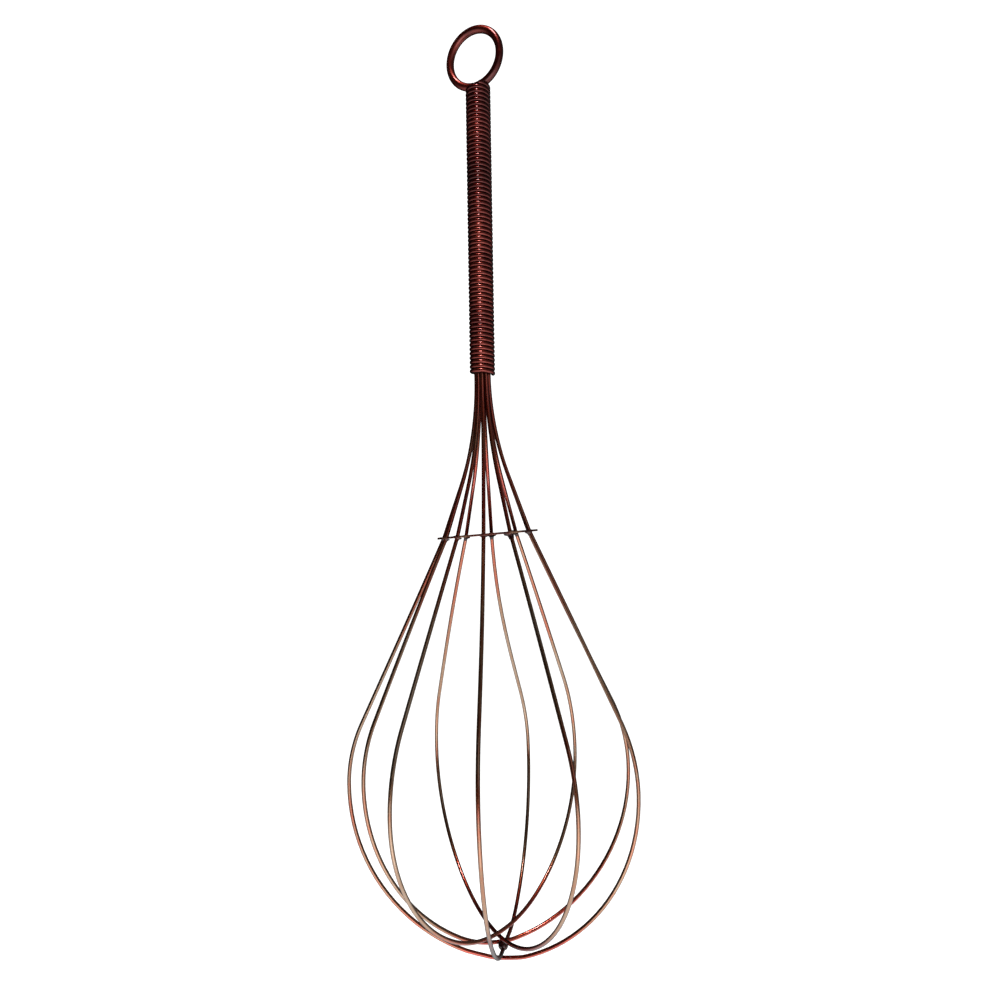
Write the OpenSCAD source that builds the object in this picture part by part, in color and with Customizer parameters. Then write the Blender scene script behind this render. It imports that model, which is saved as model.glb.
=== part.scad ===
// Balloon whisk: five wire loops, a close-wound wire handle with a hanging ring, and a spacer disc.
// All sizes are in millimetres. +Z points up the handle, and the origin is on the handle's
// line, level with the inside top of the ring, where a hook bears.

/* [Wires] */
// Diameter of the wire that the five loops are bent from
tine_wire = 1.5; // [1.3:0.1:1.5]
// Diameter of the wire wound round the handle, which is also the pitch of the winding
coil_wire = 1.7; // [1.4:0.1:1.8]
// Diameter of the core rod of the handle and of the ring's wire
rod_wire = 3.1; // [2.7:0.1:3.1]

/* [Handle] */
// Distance from the hook point down to the top of the winding
coil_top = 22; // [22:0.5:24]
// Number of turns in the winding
coil_turns = 67; // [50:1:80]
// Radius of the circle that the ten wire legs stand on inside the winding
leg_circle = 2.52; // [2.52:0.01:2.6]
// Distance that the core rod stops short of the bottom of the winding
rod_short = 6; // [4:1:30]

/* [Hanging ring] */
// Radius of the ring, to the middle of its wire
ring_radius = 11.1; // [10.6:0.1:11.1]
// Turn of the ring about the handle, away from facing along Y
ring_turn = -27.5; // [-90:0.5:90]
// Lean of the ring's top towards -Y
ring_lean = 3; // [0:1:4]
// How far the ring is fixed off the line of the handle, towards -X
ring_shift = 1.2; // [0:0.1:1.2]

/* [Spacer] */
// Distance from the bottom of the winding down to the spacer disc
spacer_drop = 61.2; // [50:0.1:75]
// Radius of the disc
disc_radius = 19.2; // [18.5:0.1:20]
// Thickness of the disc
disc_thick = 0.8; // [0.6:0.1:1.2]
// Radius at which the wires pass through the disc
hole_circle = 16.7; // [15.5:0.1:16.8]
// Radius of each hole in the disc
hole_radius = 1; // [0.95:0.05:1.1]
// Tilt of the disc, up on its +X side
disc_tilt = 4; // [0:0.5:4]

/* [Balloon] */
// Lean of the wires off the handle where they meet the disc
flare_lean = 19.5; // [18:0.5:20]
// Lean of the wires off the handle as they leave the disc
belly_lean = 25; // [23:0.5:26]
// How far the balloon drifts towards +X for each millimetre below the handle
drift = 0.016; // [0:0.002:0.02]

/* [Hidden] */

// How each loop is bent: its front leg, its back leg, and its lowest point.
// A leg is [turn off its even place at the disc, the same at the belly, belly radius,
// belly depth below the disc, lean reached before the tighter bend at the bottom].
// A lowest point is [depth below the disc, x, y], off the line of the balloon.
bends = [
    [[0.5, -1.5, 52, 91.5, 73], [0, -10, 53.6, 91.4, 59], [153.8, 1, 0]],
    [[-1, -2, 54, 91.6, 61], [0.5, -2.5, 53.6, 92.8, 58], [149.9, 0, 0.5]],
    [[3.5, 4.5, 54.4, 93.2, 70], [21, 25.5, 53.7, 92, 75], [157.1, -1.5, 0]],
    [[5.5, 4, 53.6, 91, 78], [10, 10.5, 52.2, 89.6, 60], [152.2, 2.5, 2.5]],
    [[-1, -0.5, 52.2, 91.6, 60], [0, 1, 52.4, 92, 59], [148.1, -1, -0.5]]
];
first_slot = -95;      // direction of the first loop's front leg
leg_step = 36;         // the ten legs stand evenly round the handle
meet_radius = 12;      // within this of the bottom, a loop's two legs swing into one line
wire_sides = 10;
bend_rings = 12;       // rings along each bend of a wire
straight_rings = 5;    // rings along each straight of a wire

ring_centre = -(ring_radius - rod_wire / 2);
ring_bottom = ring_centre - ring_radius - rod_wire / 2;
coil_bottom = -(coil_top + coil_turns * coil_wire);
disc_level = coil_bottom - spacer_drop;
coil_bore = leg_circle + tine_wire / 2 + 0.03;
coil_radius = coil_bore + coil_wire / 2 - 0.04;
coil_web = 0.4;        // the wound wall is solid to this far outside the middle of its wire
leg_top = ring_bottom - 4;
rod_top = ring_bottom - 2;
ring_braze_radius = 2.2;
ring_braze_height = 3.4;
tine_braze_radius = 1.6;
tine_braze_length = 1.6;
wire_slip = 0.01;      // a braze stops this short of the wire it holds
disc_centre_x = drift * spacer_drop;

function ease(t) = let(c = min(1, max(0, t))) c * c * (3 - 2 * c);
function unit(v) = v / norm(v);

// Points along a bend of radius r that starts at p and turns the lean from a0 to a1.
// In each point the first number is the distance out and the second is the depth.
function bend(p, a0, a1, r) =
    let(s = a1 > a0 ? 1 : -1)
    [for (i = [1 : bend_rings]) let(a = a0 + (a1 - a0) * i / bend_rings)
        p + s * r * [cos(a0) - cos(a), sin(a) - sin(a0)]];
function straight(p, q) = [for (i = [1 : straight_rings]) p + (q - p) * i / straight_rings];
function last(list) = list[len(list) - 1];

// Depth below the disc's centre at which a wire passes through the tilted disc.
function hole_depth(turn) = -hole_circle * cos(turn) * tan(disc_tilt);

// From the mouth of the handle out to the disc: a bend, then a straight.
function flare(depth) =
    let(top = [leg_circle, -spacer_drop],
        out = hole_circle - leg_circle,
        down = depth + spacer_drop,
        r = (down * sin(flare_lean) - out * cos(flare_lean)) / (1 - cos(flare_lean)),
        upper = bend(top, 0, flare_lean, r))
    concat([top], upper, straight(last(upper), [hole_circle, depth]));

// From the disc over the belly to the lowest point: a straight and three bends.
function balloon(depth, leg, tip) =
    let(out = leg[2] - hole_circle,
        down = leg[3] - depth,
        low = tip - leg[3],
        k = 1 - cos(belly_lean),
        run = (out * sin(belly_lean) - down * k) / k,
        shoulder = (sin(belly_lean) * down - cos(belly_lean) * out) / k,
        m = 1 - cos(leg[4]) - sin(leg[4]),
        lower = (leg[2] * (1 - sin(leg[4])) - cos(leg[4]) * low) / m,
        end = ((1 - cos(leg[4])) * low - sin(leg[4]) * leg[2]) / m,
        start = [hole_circle, depth],
        a = straight(start, start + run * [sin(belly_lean), cos(belly_lean)]),
        b = bend(last(a), belly_lean, 0, shoulder),
        c = bend(last(b), 0, -leg[4], lower),
        d = bend(last(c), -leg[4], -90, end))
    concat(a, b, c, d);

// One leg of a loop as points in space, from inside the handle to the lowest point.
// Every bend above lies in an upright plane, and that plane turns as the wire goes down.
function leg_path(slot, leg, low, meet) =
    let(hole = slot + leg[0],
        belly = slot + leg[1],
        depth = hole_depth(hole),
        upper = flare(depth),
        under = balloon(depth, leg, low[0]))
    concat(
        [[leg_circle * cos(slot), leg_circle * sin(slot), leg_top]],
        [for (p = upper)
            let(t = slot + leg[0] * ease((p[1] + spacer_drop) / (depth + spacer_drop)))
            place(p, t, [0, 0])],
        [for (p = under)
            let(t = hole + (belly - hole) * ease((p[1] - depth) / (leg[3] - depth))
                    + meet * (1 - ease(p[0] / meet_radius)),
                w = ease((p[1] - depth) / (low[0] - depth)))
            place(p, t, w * [low[1], low[2]])]
    );
function place(p, turn, shift) =
    [p[0] * cos(turn) + shift[0] + drift * (p[1] + spacer_drop),
     p[0] * sin(turn) + shift[1],
     disc_level - p[1]];

function loop_path(i) =
    let(front = first_slot + i * leg_step,
        b = bends[i],
        meet = (b[1][1] - b[0][1]) / 2,
        one = leg_path(front, b[0], b[2], meet),
        two = leg_path(front + 180, b[1], b[2], -meet))
    concat(one, [for (k = [len(two) - 2 : -1 : 0]) two[k]]);

// A round wire along a path that stays near one upright plane, whose normal is side.
module wire(path, radius, side) {
    count = len(path);
    rings = [for (i = [0 : count - 1])
        let(t = unit(path[min(i + 1, count - 1)] - path[max(i - 1, 0)]),
            u = unit(side - (side * t) * t),
            v = cross(t, u))
        for (k = [0 : wire_sides - 1])
            path[i] + radius * (u * cos(360 * k / wire_sides) + v * sin(360 * k / wire_sides))];
    walls = [for (i = [0 : count - 2], k = [0 : wire_sides - 1])
        let(a = i * wire_sides + k,
            b = i * wire_sides + (k + 1) % wire_sides)
        each [[a, a + wire_sides, b + wire_sides], [a, b + wire_sides, b]]];
    first_cap = [[for (k = [0 : wire_sides - 1]) k]];
    last_cap = [[for (k = [wire_sides - 1 : -1 : 0]) (count - 1) * wire_sides + k]];
    polyhedron(points = rings, faces = concat(walls, first_cap, last_cap));
}

module tine_loop(i) {
    turn = first_slot + i * leg_step;
    color([0.33, 0.14, 0.09])
        wire(loop_path(i), tine_wire / 2, [-sin(turn), cos(turn), 0]);
}

module ring_wire() {
    translate([-ring_shift, 0, ring_centre])
        rotate([0, 0, ring_turn])
            rotate([90 + ring_lean, 0, 0])
                rotate_extrude($fn = 96)
                    translate([ring_radius, 0])
                        circle(d = rod_wire, $fn = 32);
}

module hanging_ring() {
    color([0.3, 0.1, 0.08])
        ring_wire();
}

module ring_braze() {
    color([0.2, 0.07, 0.06])
        difference() {
            translate([0, 0, rod_top])
                cylinder(r = ring_braze_radius, h = ring_braze_height, $fn = 48);
            ring_wire();
        }
}

module core_rod() {
    color([0.3, 0.12, 0.08])
        translate([0, 0, coil_bottom + rod_short])
            cylinder(d = rod_wire, h = rod_top - coil_bottom - rod_short, $fn = 48);
}

module handle_coil() {
    color([0.24, 0.07, 0.07])
        rotate_extrude($fn = 64)
            difference() {
                union() {
                    for (i = [0 : coil_turns - 1])
                        translate([coil_radius, -coil_top - (i + 0.5) * coil_wire])
                            circle(d = coil_wire, $fn = 32);
                    translate([coil_bore, coil_bottom + coil_wire / 2])
                        square([coil_radius + coil_web - coil_bore, (coil_turns - 1) * coil_wire]);
                }
                translate([0, coil_bottom - 1])
                    square([coil_bore, coil_turns * coil_wire + 2]);
            }
}

// Places its children at the disc's centre, square to the disc.
module on_disc() {
    translate([disc_centre_x, 0, disc_level])
        rotate([0, -disc_tilt, 0])
            children();
}

// Places its children at each hole, with their Z down the wire that leaves it.
module at_holes() {
    for (i = [0 : len(bends) - 1], j = [0 : 1]) {
        turn = first_slot + i * leg_step + 180 * j + bends[i][j][0];
        translate([disc_centre_x, 0, disc_level - hole_depth(turn)])
            rotate([0, 0, turn])
                translate([hole_circle, 0, 0])
                    rotate([0, 180 - belly_lean, 0])
                        children();
    }
}

module spacer_disc() {
    color([0.36, 0.15, 0.1])
        difference() {
            on_disc()
                cylinder(r = disc_radius, h = disc_thick, center = true, $fn = 96);
            for (i = [0 : len(bends) - 1], j = [0 : 1]) {
                turn = first_slot + i * leg_step + 180 * j + bends[i][j][0];
                on_disc()
                    translate([hole_circle * cos(turn) / cos(disc_tilt), hole_circle * sin(turn), 0])
                        cylinder(r = hole_radius, h = 3 * disc_thick, center = true, $fn = 32);
            }
        }
}

module spacer_brazes() {
    color([0.22, 0.08, 0.06])
        difference() {
            at_holes()
                cylinder(r1 = tine_braze_radius, r2 = tine_wire / 2 + 0.1, h = tine_braze_length, $fn = 32);
            at_holes()
                cylinder(r = tine_wire / 2 + wire_slip, h = 3 * tine_braze_length, center = true, $fn = 32);
            on_disc()
                translate([0, 0, 5 - disc_thick / 2])
                    cube([60, 60, 10], center = true);
        }
}

hanging_ring();
ring_braze();
core_rod();
handle_coil();
tine_loop(0);  // tine_loop_1
tine_loop(1);  // tine_loop_2
tine_loop(2);  // tine_loop_3
tine_loop(3);  // tine_loop_4
tine_loop(4);  // tine_loop_5
spacer_disc();
spacer_brazes();
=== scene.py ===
import math

import bpy
from mathutils import Matrix, Vector
from mathutils.kdtree import KDTree


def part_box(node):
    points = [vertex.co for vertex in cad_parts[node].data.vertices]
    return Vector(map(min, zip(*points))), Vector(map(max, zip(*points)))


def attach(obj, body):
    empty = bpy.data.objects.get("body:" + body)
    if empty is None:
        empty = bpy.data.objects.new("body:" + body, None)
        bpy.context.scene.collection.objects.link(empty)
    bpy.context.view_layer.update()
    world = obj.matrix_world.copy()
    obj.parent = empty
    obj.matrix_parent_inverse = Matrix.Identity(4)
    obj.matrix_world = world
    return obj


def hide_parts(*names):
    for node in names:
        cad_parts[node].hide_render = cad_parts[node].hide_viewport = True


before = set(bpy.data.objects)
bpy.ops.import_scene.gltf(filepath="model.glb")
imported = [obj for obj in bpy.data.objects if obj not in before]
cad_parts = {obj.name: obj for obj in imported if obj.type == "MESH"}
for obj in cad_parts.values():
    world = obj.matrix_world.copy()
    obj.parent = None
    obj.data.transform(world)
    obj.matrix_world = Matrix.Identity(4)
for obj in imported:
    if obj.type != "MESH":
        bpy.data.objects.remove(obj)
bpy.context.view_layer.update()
print("frame loaded")

mm = 0.001
body = "root"
coilLow, coilHigh = (Vector(corner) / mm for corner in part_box("handle_coil"))
discLow, discHigh = (Vector(corner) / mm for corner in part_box("spacer_disc"))
ringLow, ringHigh = (Vector(corner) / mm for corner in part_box("hanging_ring"))
handleMouth = coilLow.z  # where the wires leave the winding
discCentre = (discLow + discHigh) / 2

view = {
    "place": (3.5, -300, discCentre.z),  # level with the disc
    "lookUp": 2.975,
    "roll": -0.945,
    "lens": 28.6,
    "sensor": 36,
    "nearest": 10,  # nothing closer than this is seen
}
cameraData = bpy.data.cameras.new("camera")
cameraData.lens = view["lens"]
cameraData.sensor_width = view["sensor"]
cameraData.clip_start = view["nearest"] * mm
camera = bpy.data.objects.new("camera", cameraData)
bpy.context.scene.collection.objects.link(camera)
camera.matrix_world = (
    Matrix.Translation(Vector(view["place"]) * mm)
    @ Matrix.Rotation(math.radians(90 + view["lookUp"]), 4, "X")
    @ Matrix.Rotation(math.radians(view["roll"]), 4, "Z")
)
bpy.context.scene.camera = camera
bpy.context.scene.view_settings.view_transform = "Standard"

studio = {
    "floorLevel": -620,
    "floorSize": 9000,
    "room": 1.25,  # brightness of the white room that lights the paper
    # what the wire's gloss shows instead: a dark room, its right side less dark, and a lit floor in front
    "mirroredDark": 0.012,
    "mirroredRight": 0.2,
    "mirroredLow": 2.7,
    "mirroredBehind": 0.1,
    # where each begins and is full, by the part of a direction that points right, up or back
    "rightSpan": (0.05, 0.6),
    "lowSpan": (-0.1, -0.75),
    "behindSpan": (0.85, 0.1),
    "softboxes": {
        # place, size across and up, brightness of its face
        "keyLamp": ((-95, -340, 640), (120, 200), 105),
        "frontWindow": ((330, -760, -50), (620, 380), 0.75),
        "frontCard": ((30, -700, -620), (700, 460), 3.4),
        "leftSoftbox": ((-780, -120, 120), (360, 900), 0.12),
        "topSoftbox": ((160, -250, 760), (500, 500), 0.2),
    },
    "aim": (0, 0, -170),
}


def addSoftbox(name, place, size, brightness):
    data = bpy.data.lights.new(name, "AREA")
    data.shape = "RECTANGLE"
    data.size = size[0] * mm
    data.size_y = size[1] * mm
    data.energy = brightness * math.pi * data.size * data.size_y
    lamp = bpy.data.objects.new(name, data)
    bpy.context.scene.collection.objects.link(lamp)
    lamp.location = Vector(place) * mm
    toAim = Vector(studio["aim"]) - Vector(place)
    lamp.rotation_euler = toAim.to_track_quat("-Z", "Y").to_euler()


for name, (place, size, brightness) in studio["softboxes"].items():
    addSoftbox(name, place, size, brightness)
print("camera and lamps placed")


def startPiece():  # operators act on all that is selected
    bpy.ops.object.select_all(action="DESELECT")


def applyModifiers(piece):
    bpy.context.view_layer.objects.active = piece
    for modifier in list(piece.modifiers):
        bpy.ops.object.modifier_apply(modifier=modifier.name)


def closeEnds(smoothUpTo):  # caps a bent wire; edges that turn more than the angle stay sharp
    bpy.ops.object.mode_set(mode="EDIT")
    bpy.ops.mesh.select_all(action="SELECT")
    bpy.ops.mesh.fill_holes(sides=0)
    bpy.ops.mesh.select_all(action="SELECT")
    bpy.ops.mesh.normals_make_consistent(inside=False)
    bpy.ops.object.mode_set(mode="OBJECT")
    bpy.ops.object.shade_smooth_by_angle(angle=math.radians(smoothUpTo))


def pointAttribute(piece, name, kind, values):  # a value or a vector at each vertex, for the materials
    layer = piece.data.attributes.new(name, kind, "POINT")
    layer.data.foreach_set("value" if kind == "FLOAT" else "vector", values)


def finishPiece(piece, name, material, nodes):
    piece.name = name
    piece.data.name = name
    piece.data.materials.clear()
    piece.data.materials.append(material)
    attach(piece, body)
    if nodes:
        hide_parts(*nodes)


def colour(code):  # sRGB hex to the linear values that the sockets take
    parts = [int(code[i:i + 2], 16) / 255 for i in (1, 3, 5)]
    return [p / 12.92 if p <= 0.04045 else ((p + 0.055) / 1.055) ** 2.4 for p in parts] + [1]


def addNode(tree, kind, settings, links=None):
    node = tree.nodes.new(kind)
    for name, value in settings.items():
        if isinstance(name, str) and name[0].islower():
            setattr(node, name, value)
        else:
            node.inputs[name].default_value = value
    for name, source in (links or {}).items():
        tree.links.new(source, node.inputs[name])
    return node


def setRamp(node, stops):
    elements = node.color_ramp.elements
    while len(elements) < len(stops):
        elements.new(0.5)
    for element, (place, code) in zip(elements, stops):
        element.position = place
        element.color = colour(code)


def newMaterial(name):
    material = bpy.data.materials.new(name)
    material.use_nodes = True
    material.node_tree.nodes.clear()
    return material


def perMillimetre(size):  # noise scale that gives marks of this many millimetres
    return 1 / (size * mm)


def makeLacqueredWire(finish):
    # copper-plated steel wire, drawn through a die and dipped in dark tinted lacquer: the plating gives
    # a warm glow, the lacquer sharp pale glints, and its uneven depth the drift from maroon to orange
    material = newMaterial(finish["name"])
    tree = material.node_tree
    place = addNode(tree, "ShaderNodeTexCoord", {}).outputs["Object"]
    drift = addNode(tree, "ShaderNodeTexNoise",
                    {"Scale": perMillimetre(finish["driftSize"]), "Detail": 1.5}, {"Vector": place})
    mottle = addNode(tree, "ShaderNodeTexNoise",
                     {"Scale": perMillimetre(finish["mottleSize"]), "Detail": 2, "Roughness": 0.5},
                     {"Vector": place})
    # die lines run along the wire; real ones are a few hundredths wide, drawn coarser to show
    flow = addNode(tree, "ShaderNodeAttribute", {"attribute_name": "wireFlow"}).outputs["Vector"]
    across, along = perMillimetre(finish["lineWidth"]), perMillimetre(finish["lineLength"])
    lined = addNode(tree, "ShaderNodeMapping", {"Scale": (across, across, along)}, {"Vector": flow})
    lines = addNode(tree, "ShaderNodeTexNoise", {"Scale": 1, "Detail": 2}, {"Vector": lined.outputs[0]})
    share = addNode(tree, "ShaderNodeMath", {"operation": "MULTIPLY", 1: 0.25}, {0: mottle.outputs[0]})
    depthAndPaintedSheen = addNode(tree, "ShaderNodeMath", {"operation": "MULTIPLY_ADD", 1: 0.75},
                   {0: drift.outputs[0], 2: share.outputs[0]}).outputs[0]
    if "paintedSheenBands" in finish:  # painted light: the tints go paler in bands of height where the reflections are brightest, on the belly and toward the handle's foot, and darker again toward the tip
        amount, levels = finish["paintedSheenBands"]
        height = addNode(tree, "ShaderNodeSeparateXYZ", {}, {"Vector": place}).outputs["Z"]
        for start, end, change in levels:
            part = addNode(tree, "ShaderNodeMapRange",
                           {"From Min": start * mm, "From Max": end * mm, "To Max": change * amount,
                            "interpolation_type": "SMOOTHSTEP"}, {"Value": height}).outputs[0]
            depthAndPaintedSheen = addNode(tree, "ShaderNodeMath", {"operation": "ADD"}, {0: depthAndPaintedSheen, 1: part}).outputs[0]
    tint = addNode(tree, "ShaderNodeValToRGB", {}, {"Fac": depthAndPaintedSheen})
    setRamp(tint, finish["tints"])
    base = tint.outputs["Color"]
    if "paintedGrooveShade" in finish:  # painted shade: near black on the inner half of each turn and between the turns, full tint only toward the crests
        crest = addNode(tree, "ShaderNodeAttribute", {"attribute_name": "crest"}).outputs["Fac"]
        crestShare = addNode(tree, "ShaderNodeMapRange",
                       {"From Min": 0.0, "From Max": 0.85, "interpolation_type": "SMOOTHSTEP"},
                       {"Value": crest})
        shade = addNode(tree, "ShaderNodeMix", {"data_type": "RGBA", 6: colour(finish["paintedGrooveShade"])},
                        {0: crestShare.outputs[0], 7: base})
        base = shade.outputs[2]
    smoothest, roughest = finish["roughness"]
    rough = addNode(tree, "ShaderNodeMapRange",
                    {"From Min": 0.3, "From Max": 0.7, "To Min": smoothest, "To Max": roughest},
                    {"Value": mottle.outputs[0]})
    bump = addNode(tree, "ShaderNodeBump", {"Strength": finish["bump"], "Distance": 0.05 * mm},
                   {"Height": lines.outputs[0]})
    shader = addNode(tree, "ShaderNodeBsdfPrincipled",
                     {"Metallic": 1.0, "Coat Weight": finish["coat"], "Coat IOR": finish["coatIor"],
                      "Coat Roughness": finish["coatRoughness"],
                      "Specular Tint": colour(finish["edgeTint"])},
                     {"Base Color": base, "Roughness": rough.outputs[0], "Normal": bump.outputs[0],
                      "Coat Normal": bump.outputs[0]})
    addNode(tree, "ShaderNodeOutputMaterial", {}, {"Surface": shader.outputs[0]})
    return material


# a finish's sizes are in mm; tints go from thick lacquer to thin, at values of the drift pattern; the entry
# for the painted sheen bands (painted light, paler by height) holds their amount, then the levels where
# each starts and is full and its sign
tineLacquer = makeLacqueredWire({
    "name": "lacqueredCopperWire",
    "driftSize": 38, "mottleSize": 3, "lineWidth": 0.16, "lineLength": 9,
    "tints": [(0.36, "#6c160c"), (0.47, "#8a2c14"), (0.58, "#783a1e"), (0.7, "#705038"), (0.84, "#766250")],
    # the paler band on the belly is painted light, darker again toward the tip
    "paintedSheenBands": (0.2, [(-175, -255, 1), (-318, -345, -0.85)]),
    "roughness": (0.2, 0.27), "bump": 0.006, "coat": 0.9, "coatRoughness": 0.12, "coatIor": 1.5,
    "edgeTint": "#4a2c22",
})
# the wound handle took a thicker, darker coat; near black between its turns is painted shade, and paler
# toward its foot is painted light
handleLacquer = makeLacqueredWire({
    "name": "lacqueredWindingWire",
    "driftSize": 24, "mottleSize": 1.8, "lineWidth": 0.2, "lineLength": 7,
    "tints": [(0.38, "#360a07"), (0.5, "#46110d"), (0.62, "#5c2019")],
    "paintedSheenBands": (0.12, [(-20, -130, 1)]),
    "roughness": (0.26, 0.36), "bump": 0.02, "coat": 0.3, "coatRoughness": 0.14, "coatIor": 1.5,
    "edgeTint": "#30140f",
    "paintedGrooveShade": "#2a0806",
# painted shade: the colour between the turns and on their inner side
})
# thick lacquer with a softer gloss, so its streaks are broad and dull
ringLacquer = makeLacqueredWire({
    "name": "lacqueredRingWire",
    "driftSize": 16, "mottleSize": 2.2, "lineWidth": 0.22, "lineLength": 8,
    "tints": [(0.38, "#340907"), (0.5, "#44100c"), (0.62, "#5c1e17")],
    "roughness": (0.34, 0.42), "bump": 0.015, "coat": 0.35, "coatRoughness": 0.22, "coatIor": 1.5,
    "edgeTint": "#301610",
})
# stamped steel sheet under the same lacquer, duller and blotched where it ran
discLacquer = makeLacqueredWire({
    "name": "lacqueredSheet",
    "driftSize": 9, "mottleSize": 1.6, "lineWidth": 0.3, "lineLength": 6,
    "tints": [(0.4, "#35120e"), (0.52, "#532418"), (0.64, "#8a6a54")],
    "roughness": (0.38, 0.55), "bump": 0.06, "coat": 0.4, "coatRoughness": 0.25, "coatIor": 1.5,
    "edgeTint": "#807870",
})
# braze filler under lacquer: lumpy, satin and almost black
brazeLacquer = makeLacqueredWire({
    "name": "lacqueredBraze",
    "driftSize": 3, "mottleSize": 0.7, "lineWidth": 0.5, "lineLength": 1,
    "tints": [(0.4, "#1c0706"), (0.55, "#30100c"), (0.68, "#502c22")],
    "roughness": (0.35, 0.55), "bump": 0.2, "coat": 0.6, "coatRoughness": 0.2, "coatIor": 1.5,
    "edgeTint": "#604840",
})


def makePaper():
    # matte white background paper: nearly even, with a very faint grain
    material = newMaterial("backgroundPaper")
    tree = material.node_tree
    place = addNode(tree, "ShaderNodeTexCoord", {}).outputs["Object"]
    grain = addNode(tree, "ShaderNodeTexNoise", {"Scale": perMillimetre(3), "Detail": 3}, {"Vector": place})
    tint = addNode(tree, "ShaderNodeValToRGB", {}, {"Fac": grain.outputs[0]})
    setRamp(tint, [(0.3, "#f6f6f5"), (0.7, "#fbfbfa")])
    shader = addNode(tree, "ShaderNodeBsdfPrincipled", {"Roughness": 0.9, "Specular IOR Level": 0.1},
                     {"Base Color": tint.outputs[0]})
    addNode(tree, "ShaderNodeOutputMaterial", {}, {"Surface": shader.outputs[0]})
    return material


print("materials made")

startPiece()
bpy.ops.mesh.primitive_plane_add(size=studio["floorSize"] * mm, location=(0, 0, studio["floorLevel"] * mm))
floor = bpy.context.object
floor.name = "floor"
floor.data.materials.append(makePaper())
floor.visible_glossy = False  # the room's dark side is what the gloss shows, not the lit paper

world = bpy.data.worlds.new("studio")
bpy.context.scene.world = world
world.use_nodes = True
world.node_tree.nodes.clear()
room = world.node_tree
direction = addNode(room, "ShaderNodeTexCoord", {}).outputs["Generated"]
sides = addNode(room, "ShaderNodeSeparateXYZ", {}, {"Vector": direction}).outputs
right = addNode(room, "ShaderNodeMapRange",
                {"From Min": studio["rightSpan"][0], "From Max": studio["rightSpan"][1],
                 "To Min": studio["mirroredDark"], "To Max": studio["mirroredRight"]},
                {"Value": sides["X"]})
low = addNode(room, "ShaderNodeMapRange",
              {"From Min": studio["lowSpan"][0], "From Max": studio["lowSpan"][1]}, {"Value": sides["Z"]})
front = addNode(room, "ShaderNodeMapRange",
                {"From Min": studio["behindSpan"][0], "From Max": studio["behindSpan"][1],
                 "To Min": studio["mirroredBehind"], "To Max": studio["mirroredLow"]},
                {"Value": sides["Y"]})
mirrored = addNode(room, "ShaderNodeMath", {"operation": "MULTIPLY_ADD"},
                   {0: low.outputs[0], 1: front.outputs[0], 2: right.outputs[0]})
ray = addNode(room, "ShaderNodeLightPath", {})
brightness = addNode(room, "ShaderNodeMapRange", {"To Min": studio["room"]},
                     {"Value": ray.outputs["Is Glossy Ray"], "To Max": mirrored.outputs[0]})
roomLight = addNode(room, "ShaderNodeBackground", {"Color": (1, 1, 1, 1)},
                    {"Strength": brightness.outputs[0]})
addNode(room, "ShaderNodeOutputWorld", {}, {"Surface": roomLight.outputs[0]})
print("studio built")

balloon = {
    "wire": 1.5,
    "sides": 16,
    "smoothUpTo": 50,
    "legCircle": 2.52,  # how far from the handle's line the legs stand inside it
    "legTop": -26.2,
    "holeCircle": 16.7,
    "flareLean": 19.5,  # lean of the wires above the disc
    "bellyLean": 25,  # and below it
    "discTilt": 4,
    "drift": 0.016,  # the balloon leans this much to the right on its way down
    "firstSlot": -95,  # direction of the first loop's front leg
    "legStep": 36,
    "meetRadius": 12,  # inside it a loop's two legs turn to meet in one plane
    # each loop: front leg, back leg, lowest point. A leg is its turn off its even place at the disc,
    # the same at the belly, belly radius, belly depth below the disc, and the lean before the last bend
    "bends": [
        ((0.5, -1.5, 52, 91.5, 73), (0, -10, 53.6, 91.4, 59), (153.8, 1, 0)),
        ((-1, -2, 54, 91.6, 61), (0.5, -2.5, 53.6, 92.8, 58), (149.9, 0, 0.5)),
        ((3.5, 4.5, 54.4, 93.2, 70), (21, 25.5, 53.7, 92, 75), (157.1, -1.5, 0)),
        ((5.5, 4, 53.6, 91, 78), (10, 10.5, 52.2, 89.6, 60), (152.2, 2.5, 2.5)),
        ((-1, -0.5, 52.2, 91.6, 60), (0, 1, 52.4, 92, 59), (148.1, -1, -0.5)),
    ],
}
spacerDrop = handleMouth - discCentre.z


def ease(t):
    t = min(1, max(0, t))
    return t * t * (3 - 2 * t)


def bendPoints(start, leanFrom, leanTo, radius, count=24):  # (out from the handle, down from the disc)
    side = 1 if leanTo > leanFrom else -1
    points = []
    for i in range(1, count + 1):
        lean = math.radians(leanFrom + (leanTo - leanFrom) * i / count)
        first = math.radians(leanFrom)
        points.append((start[0] + side * radius * (math.cos(first) - math.cos(lean)),
                       start[1] + side * radius * (math.sin(lean) - math.sin(first))))
    return points


def straightPoints(start, end, count=10):
    return [tuple(a + (b - a) * i / count for a, b in zip(start, end)) for i in range(1, count + 1)]


def flarePoints(depth):  # out of the handle to the disc: a bend, then a straight
    lean = math.radians(balloon["flareLean"])
    out = balloon["holeCircle"] - balloon["legCircle"]
    down = depth + spacerDrop
    radius = (down * math.sin(lean) - out * math.cos(lean)) / (1 - math.cos(lean))
    mouth = (balloon["legCircle"], -spacerDrop)
    bend = bendPoints(mouth, 0, balloon["flareLean"], radius)
    return [mouth] + bend + straightPoints(bend[-1], (balloon["holeCircle"], depth))


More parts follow.
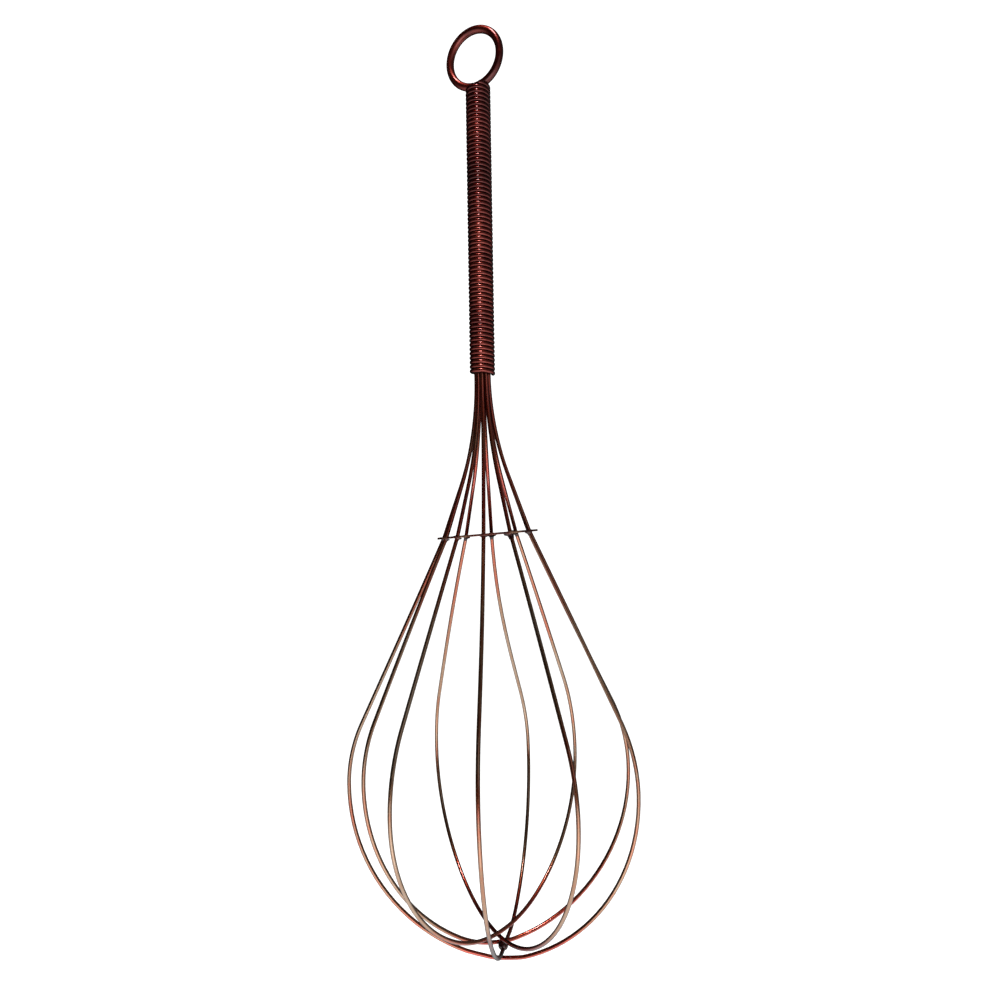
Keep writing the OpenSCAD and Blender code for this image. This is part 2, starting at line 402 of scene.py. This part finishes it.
def bellyPoints(depth, leg, lowest):  # from the disc to the lowest point: a straight and three bends
    lean, lower = math.radians(balloon["bellyLean"]), math.radians(leg[4])
    out, down, low = leg[2] - balloon["holeCircle"], leg[3] - depth, lowest - leg[3]
    k = 1 - math.cos(lean)
    run = (out * math.sin(lean) - down * k) / k
    shoulder = (down * math.sin(lean) - out * math.cos(lean)) / k
    m = 1 - math.cos(lower) - math.sin(lower)
    side = (leg[2] * (1 - math.sin(lower)) - math.cos(lower) * low) / m
    end = ((1 - math.cos(lower)) * low - math.sin(lower) * leg[2]) / m
    start = (balloon["holeCircle"], depth)
    points = straightPoints(start, (start[0] + run * math.sin(lean), depth + run * math.cos(lean)))
    points += bendPoints(points[-1], balloon["bellyLean"], 0, shoulder)
    points += bendPoints(points[-1], 0, -leg[4], side)
    points += bendPoints(points[-1], -leg[4], -90, end)
    return points


def spacePoint(point, turn, shift=(0, 0)):  # a point of a leg's side view, turned to its direction
    angle = math.radians(turn)
    return Vector((point[0] * math.cos(angle) + shift[0] + balloon["drift"] * (point[1] + spacerDrop),
                   point[0] * math.sin(angle) + shift[1],
                   discCentre.z - point[1]))


def holeDepth(turn):  # the disc is tilted, so each wire meets it at its own depth
    tilt = math.radians(balloon["discTilt"])
    return -balloon["holeCircle"] * math.cos(math.radians(turn)) * math.tan(tilt)


def legPoints(slot, leg, lowest, meet):
    hole, belly = slot + leg[0], slot + leg[1]
    depth = holeDepth(hole)
    points = [Vector((balloon["legCircle"] * math.cos(math.radians(slot)),
                      balloon["legCircle"] * math.sin(math.radians(slot)), balloon["legTop"]))]
    for point in flarePoints(depth):
        share = ease((point[1] + spacerDrop) / (depth + spacerDrop))
        points.append(spacePoint(point, slot + leg[0] * share))
    for point in bellyPoints(depth, leg, lowest[0]):
        turn = hole + (belly - hole) * ease((point[1] - depth) / (leg[3] - depth))
        turn += meet * (1 - ease(point[0] / balloon["meetRadius"]))
        share = ease((point[1] - depth) / (lowest[0] - depth))
        points.append(spacePoint(point, turn, (share * lowest[1], share * lowest[2])))
    return points


def searchTree(points):
    tree = KDTree(len(points))
    for i, point in enumerate(points):
        tree.insert(point, i)
    tree.balance()
    return tree


def makeWire(points, radius, sides):
    startPiece()
    bpy.ops.curve.primitive_nurbs_path_add(location=(0, 0, 0))
    wire = bpy.context.object
    curve = wire.data
    curve.splines.clear()
    spline = curve.splines.new("POLY")
    spline.points.add(len(points) - 1)
    for control, point in zip(spline.points, points):
        control.co = (*(point * mm), 1)
    curve.bevel_depth = radius * mm
    curve.bevel_resolution = sides // 2 - 2
    curve.use_fill_caps = True
    curve.twist_mode = "MINIMUM"
    bpy.ops.object.convert(target="MESH")
    wire = bpy.context.object
    bpy.ops.object.mode_set(mode="EDIT")
    bpy.ops.mesh.select_all(action="SELECT")
    bpy.ops.mesh.remove_doubles(threshold=0.002 * mm)
    bpy.ops.mesh.normals_make_consistent(inside=False)
    bpy.ops.object.mode_set(mode="OBJECT")
    bpy.ops.object.shade_smooth_by_angle(angle=math.radians(balloon["smoothUpTo"]))
    # the surface's own coordinates: round the wire in x and y, along it in z
    along = [0]
    for a, b in zip(points, points[1:]):
        along.append(along[-1] + (b - a).length)
    nearest = searchTree(points)
    acrossAll = Vector((0.3, 0.2, 1))  # a direction that no wire runs along
    flow = []
    for vertex in wire.data.vertices:
        spot = vertex.co / mm
        index = nearest.find(spot)[1]
        ahead = points[min(index + 1, len(points) - 1)] - points[max(index - 1, 0)]
        off = spot - points[index]
        side = ahead.cross(acrossAll).normalized()
        flow += [off.dot(side) * mm, off.dot(side.cross(ahead.normalized())) * mm, along[index] * mm]
    pointAttribute(wire, "wireFlow", "FLOAT_VECTOR", flow)
    return wire


holes = []  # where each wire passes the disc: place, turn
for number, (front, back, lowest) in enumerate(balloon["bends"]):
    slot = balloon["firstSlot"] + number * balloon["legStep"]
    meet = (back[1] - front[1]) / 2
    points = legPoints(slot, front, lowest, meet)
    points += reversed(legPoints(slot + 180, back, lowest, -meet)[:-1])
    wire = makeWire(points, balloon["wire"] / 2, balloon["sides"])
    node = f"tine_loop_{number + 1}"
    finishPiece(wire, f"wireLoop{number + 1}", tineLacquer, [node])
    for turn in (slot + front[0], slot + 180 + back[0]):
        holes.append((spacePoint((balloon["holeCircle"], holeDepth(turn)), turn), turn))
print("wire loops bent")

winding = {
    "wire": 1.69,
    "turns": 66.26,
    "sides": 14,
    "stepsPerTurn": 32,
    "topEnd": -85,  # direction in which the wire's top end lies
    "topRise": 1.3,  # how far that end stands above the even part of the winding
    "smoothUpTo": 50,
}
windingRadius = coilHigh.y - winding["wire"] / 2
windingTop = coilHigh.z + winding["topRise"] - winding["wire"] / 2
windingBottom = coilLow.z + winding["wire"] / 2
startPiece()
bpy.ops.mesh.primitive_circle_add(
    vertices=winding["sides"], radius=winding["wire"] / 2 * mm,
    location=(windingRadius * mm, 0, windingTop * mm), rotation=(math.radians(90), 0, 0))
coil = bpy.context.object
bpy.ops.object.transform_apply(location=True, rotation=True, scale=True)
screw = coil.modifiers.new("wind", "SCREW")
screw.angle = math.radians(360 * winding["turns"])  # left-handed: it goes down as it turns anticlockwise
screw.screw_offset = (windingBottom - windingTop) * mm
screw.steps = round(winding["turns"] * winding["stepsPerTurn"])
screw.render_steps = screw.steps
screw.iterations = 1
screw.use_merge_vertices = False
applyModifiers(coil)
closeEnds(winding["smoothUpTo"])
bpy.ops.object.mode_set(mode="EDIT")
bpy.ops.mesh.select_all(action="SELECT")
bpy.ops.transform.rotate(
    value=math.radians(-winding["topEnd"]), orient_axis="Z", center_override=(0, 0, 0))
bpy.ops.object.mode_set(mode="OBJECT")
pitch = (windingTop - windingBottom) / winding["turns"]
crest, flow = [], []  # how far out on its wire each vertex is, and the wire's own coordinates
for vertex in coil.data.vertices:
    spot = vertex.co / mm
    out = math.hypot(spot.x, spot.y) - windingRadius
    turned = math.atan2(spot.y, spot.x) - math.radians(winding["topEnd"])
    whole = round((windingTop - spot.z) / pitch - turned / math.tau)
    level = windingTop - (whole + turned / math.tau) * pitch
    crest.append(out / (winding["wire"] / 2))
    flow += [out * mm, (spot.z - level) * mm, (whole * math.tau + turned) * windingRadius * mm]
pointAttribute(coil, "crest", "FLOAT", crest)
pointAttribute(coil, "wireFlow", "FLOAT_VECTOR", flow)
finishPiece(coil, "handleWinding", handleLacquer, ["handle_coil"])
print("handle wound")

ring = {
    "wire": 3.1,
    "turn": -27.5,  # of its plane about the handle's line
    "lean": 3,  # of its plane off that line
    "gap": 4,  # degrees left open at the foot, where the rod's end butts on its neck
    "sides": 28,
    "steps": 120,
    "smoothUpTo": 50,
}
ringCentre = (ringLow + ringHigh) / 2
ringRadius = ringHigh.z - ringCentre.z - ring["wire"] / 2
ringPlane = (Matrix.Translation(ringCentre * mm) @ Matrix.Rotation(math.radians(ring["turn"]), 4, "Z")
             @ Matrix.Rotation(math.radians(90 + ring["lean"]), 4, "X"))
startPiece()
bpy.ops.mesh.primitive_circle_add(
    vertices=ring["sides"], radius=ring["wire"] / 2 * mm,
    location=(0, -ringRadius * mm, 0), rotation=(0, math.radians(90), 0))
eye = bpy.context.object
bpy.ops.object.transform_apply(location=True, rotation=True, scale=True)
bend = eye.modifiers.new("bend", "SCREW")
bend.axis = "Z"
bend.angle = math.radians(360 - ring["gap"])
bend.steps = ring["steps"]
bend.render_steps = ring["steps"]
bend.use_merge_vertices = False
applyModifiers(eye)
closeEnds(ring["smoothUpTo"])
flow = []
for vertex in eye.data.vertices:
    spot = vertex.co
    out = math.hypot(spot.x, spot.y) - ringRadius * mm
    flow += [out, spot.z, math.atan2(spot.x, -spot.y) * ringRadius * mm]
pointAttribute(eye, "wireFlow", "FLOAT_VECTOR", flow)
eye.matrix_world = ringPlane
bpy.ops.object.transform_apply(location=True, rotation=True, scale=True)
finishPiece(eye, "hangingRing", ringLacquer, ["hanging_ring"])
print("ring bent")

# the two lumps of braze, at the ring's foot and where loops cross at the tip; sizes are half widths
foot = {"place": (0, 0, -22), "size": (2.5, 2.1, 1.5), "turn": ring["turn"], "uneven": 0.25}
knot = {"place": (4.3, 0.5, -350.1), "size": (1.9, 1.7, 1.7), "turn": 0, "uneven": 0.5}
grain = bpy.data.textures.new("lump", "CLOUDS")
grain.noise_scale = 1.6 * mm


def makeLump(settings):
    startPiece()
    bpy.ops.mesh.primitive_uv_sphere_add(
        segments=32, ring_count=20, radius=mm, location=Vector(settings["place"]) * mm)
    lump = bpy.context.object
    lump.scale = settings["size"]
    lump.rotation_euler = (0, 0, math.radians(settings["turn"]))
    bpy.ops.object.transform_apply(location=True, rotation=True, scale=True)
    uneven = lump.modifiers.new("uneven", "DISPLACE")
    uneven.texture = grain
    uneven.texture_coords = "LOCAL"
    uneven.strength = settings["uneven"] * mm
    applyModifiers(lump)
    bpy.ops.object.shade_smooth()
    return lump


finishPiece(makeLump(foot), "ringBraze", brazeLacquer, ["ring_braze"])
print("ring brazed")
finishPiece(makeLump(knot), "tipBraze", brazeLacquer, [])
print("tip brazed")

spacer = {
    "thick": 0.8,
    "hole": 1.0,  # radius of each wire's hole
    "drill": 5,  # length of the cutter, more than the disc is thick
    "rim": 0.25,
    "edges": 128,
    "holeEdges": 24,
    "smoothUpTo": 40,
}
discTurn = Matrix.Rotation(math.radians(-balloon["discTilt"]), 4, "Y")
discRadius = (discHigh.y - discLow.y) / 2
startPiece()
bpy.ops.mesh.primitive_cylinder_add(
    vertices=spacer["edges"], radius=discRadius * mm, depth=spacer["thick"] * mm)
disc = bpy.context.object
disc.matrix_world = Matrix.Translation(discCentre * mm) @ discTurn
bpy.ops.object.transform_apply(location=True, rotation=True, scale=True)
drills = []
for place, _ in holes:
    startPiece()
    bpy.ops.mesh.primitive_cylinder_add(
        vertices=spacer["holeEdges"], radius=spacer["hole"] * mm, depth=spacer["drill"] * mm)
    drill = bpy.context.object
    drill.matrix_world = Matrix.Translation(place * mm) @ discTurn
    drills.append(drill)
startPiece()
for drill in drills:
    drill.select_set(True)
bpy.context.view_layer.objects.active = drills[0]
bpy.ops.object.join()
drill = bpy.context.object
startPiece()
disc.select_set(True)
drilled = disc.modifiers.new("drill", "BOOLEAN")
drilled.object = drill
drilled.solver = "EXACT"
rim = disc.modifiers.new("rim", "BEVEL")
rim.width = spacer["rim"] * mm
rim.segments = 3
rim.limit_method = "ANGLE"
applyModifiers(disc)
bpy.data.objects.remove(drill)
bpy.ops.object.shade_smooth_by_angle(angle=math.radians(spacer["smoothUpTo"]))
finishPiece(disc, "spacerDisc", discLacquer, ["spacer_disc"])
print("disc pierced")

# one fillet is shaped and copied to both faces of the disc at each wire
braze = {
    "reach": 1.7,  # how far each spreads on the disc, from the middle of its wire
    "climb": 1.5,  # how far it climbs the wire
    "rings": 7,  # steps of its hollow curve
    "edges": 24,
    "smoothUpTo": 60,
    "above": 0.55,  # size of the braze on the upper face, against the lower
    "sink": 0.9,  # its end on the wire, against the wire's radius, so that it meets the wire
    "lift": 0.25,  # its foot off the middle of the disc
    "heavy": {2: 1.45, 1: 1.2},  # hole number and how much larger its braze is
}
startPiece()
bpy.ops.mesh.primitive_circle_add(vertices=braze["edges"], radius=braze["reach"] * mm)
fillet = bpy.context.object
bpy.ops.object.mode_set(mode="EDIT")
bpy.ops.mesh.select_all(action="SELECT")
inner = balloon["wire"] / 2 * braze["sink"]
reach, level = braze["reach"], 0
for i in range(1, braze["rings"] + 1):
    share = math.radians(90 * i / braze["rings"])
    newReach = inner + (braze["reach"] - inner) * (1 - math.sin(share))
    newLevel = braze["climb"] * (1 - math.cos(share))
    bpy.ops.mesh.extrude_region_move(TRANSFORM_OT_translate={"value": (0, 0, (newLevel - level) * mm)})
    narrower = newReach / reach
    bpy.ops.transform.resize(value=(narrower, narrower, 1), center_override=(0, 0, newLevel * mm))
    reach, level = newReach, newLevel
bpy.ops.mesh.select_all(action="SELECT")
bpy.ops.mesh.fill_holes(sides=0)
bpy.ops.mesh.normals_make_consistent(inside=False)
bpy.ops.object.mode_set(mode="OBJECT")
fillets = []
for number, (place, turn) in enumerate(holes):
    below = (-1, 180 - balloon["bellyLean"], braze["heavy"].get(number, 1))
    above = (1, -balloon["flareLean"], braze["above"])
    for face, lean, size in (below, above):
        startPiece()
        fillet.select_set(True)
        bpy.context.view_layer.objects.active = fillet
        bpy.ops.object.duplicate()
        copy = bpy.context.object
        copy.matrix_world = (
            Matrix.Translation((place + Vector((0, 0, face * braze["lift"]))) * mm)
            @ Matrix.Rotation(math.radians(turn), 4, "Z")
            @ Matrix.Rotation(math.radians(lean), 4, "Y") @ Matrix.Scale(size, 4))
        fillets.append(copy)
bpy.data.objects.remove(fillet)
startPiece()
for copy in fillets:
    copy.select_set(True)
bpy.context.view_layer.objects.active = fillets[0]
bpy.ops.object.join()
brazes = bpy.context.object
bpy.ops.object.transform_apply(location=True, rotation=True, scale=True)
bpy.ops.object.shade_smooth_by_angle(angle=math.radians(braze["smoothUpTo"]))
finishPiece(brazes, "spacerBrazes", brazeLacquer, ["spacer_brazes"])
print("wires brazed")

# the core rod keeps its CAD shape
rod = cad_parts["core_rod"]
for materialSlot in rod.material_slots:
    materialSlot.material = ringLacquer
print("core rod lacquered")
